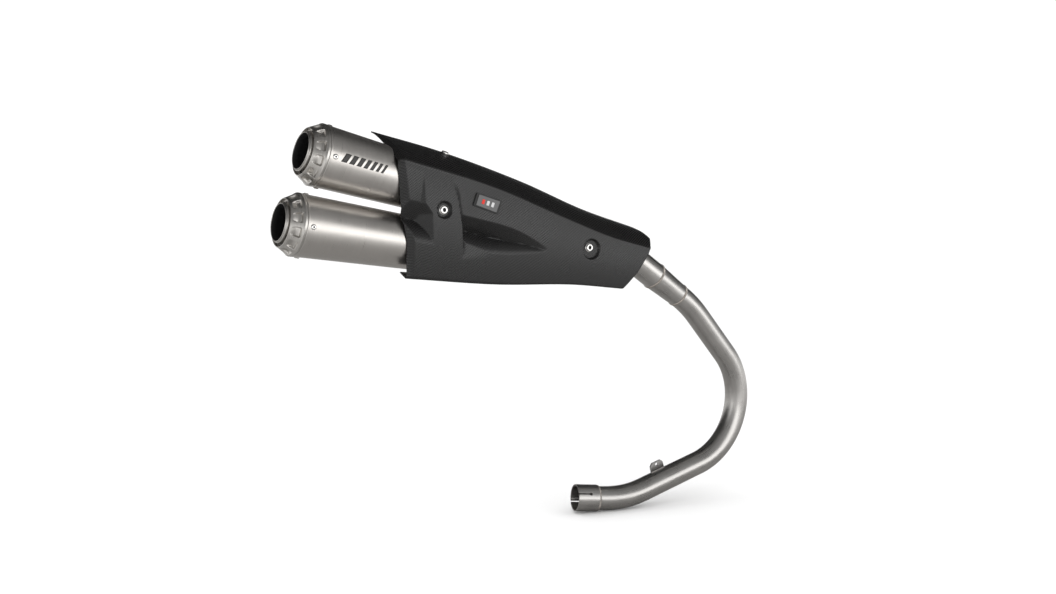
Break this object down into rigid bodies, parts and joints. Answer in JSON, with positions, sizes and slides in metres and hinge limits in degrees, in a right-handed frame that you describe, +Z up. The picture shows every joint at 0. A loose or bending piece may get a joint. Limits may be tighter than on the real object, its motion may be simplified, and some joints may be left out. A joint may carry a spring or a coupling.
{
  "type": "motorcycle racing exhaust system",
  "caption": "Racing exhaust: looped link pipe with a slotted slip socket, Y collector, stacked round silencers with removable noise inserts, and a carbon side heat shield.",
  "frame": {"origin": "centre of the slip socket mouth, where the system pushes onto the collector box outlet", "axes": "+X forward along the vehicle, +Y inboard, away from the heat shield, +Z up"},
  "size_m": [0.9806, 0.1191, 0.7157],
  "materials": {
    "titanium": "satin, brushed round the can",
    "cap": "machined satin",
    "tube": "satin, drawn along the tube",
    "insert": "matte black, sooted",
    "fastener": "bright",
    "carbon": "matte carbon weave",
    "packing": "loose wool",
    "rubber": "matte",
    "badge": "satin"
  },
  "bodies": {
    "system": {"upper_can_sleeve": "titanium", "upper_end_cap": "cap", "upper_rivet_1": "fastener", "upper_rivet_2": "fastener", "upper_rivet_3": "fastener", "upper_rivet_4": "fastener", "upper_core_tube": "insert", "upper_packing": "packing", "upper_front_cap": "tube", "lower_can_sleeve": "titanium", "lower_end_cap": "cap", "lower_rivet_1": "fastener", "lower_rivet_2": "fastener", "lower_rivet_3": "fastener", "lower_rivet_4": "fastener", "lower_core_tube": "insert", "lower_packing": "packing", "lower_front_cap": "tube", "y_collector": "tube", "inlet_tube": "tube", "reducer_cone": "tube", "link_pipe": "tube", "slip_socket": "tube", "pipe_tab": "tube", "can_saddle": "tube", "front_boss": "tube", "top_boss": "tube", "hanger_plate": "tube", "heat_shield": "carbon", "shield_badge": "badge", "shield_bolt_rear": "fastener", "shield_bolt_front": "fastener", "shield_bolt_top": "fastener", "hanger_screw_1": "fastener", "hanger_screw_2": "fastener", "hanger_sleeve": "fastener", "shield_bush_rear": "rubber", "shield_bush_front": "rubber", "hanger_bush": "rubber"},
    "upper_damper": {"upper_damper_insert": "insert", "upper_insert_screw": "fastener"},
    "lower_damper": {"lower_damper_insert": "insert", "lower_insert_screw": "fastener"}
  },
  "joints": [
    {"name": "upper_insert_slide", "type": "slide", "parent": "system", "child": "upper_damper", "axis": [-0.9677, 0, 0.2521], "range_m": [0, 0.1]},
    {"name": "lower_insert_slide", "type": "slide", "parent": "system", "child": "lower_damper", "axis": [-0.9851, 0, 0.1719], "range_m": [0, 0.1]}
  ]
}
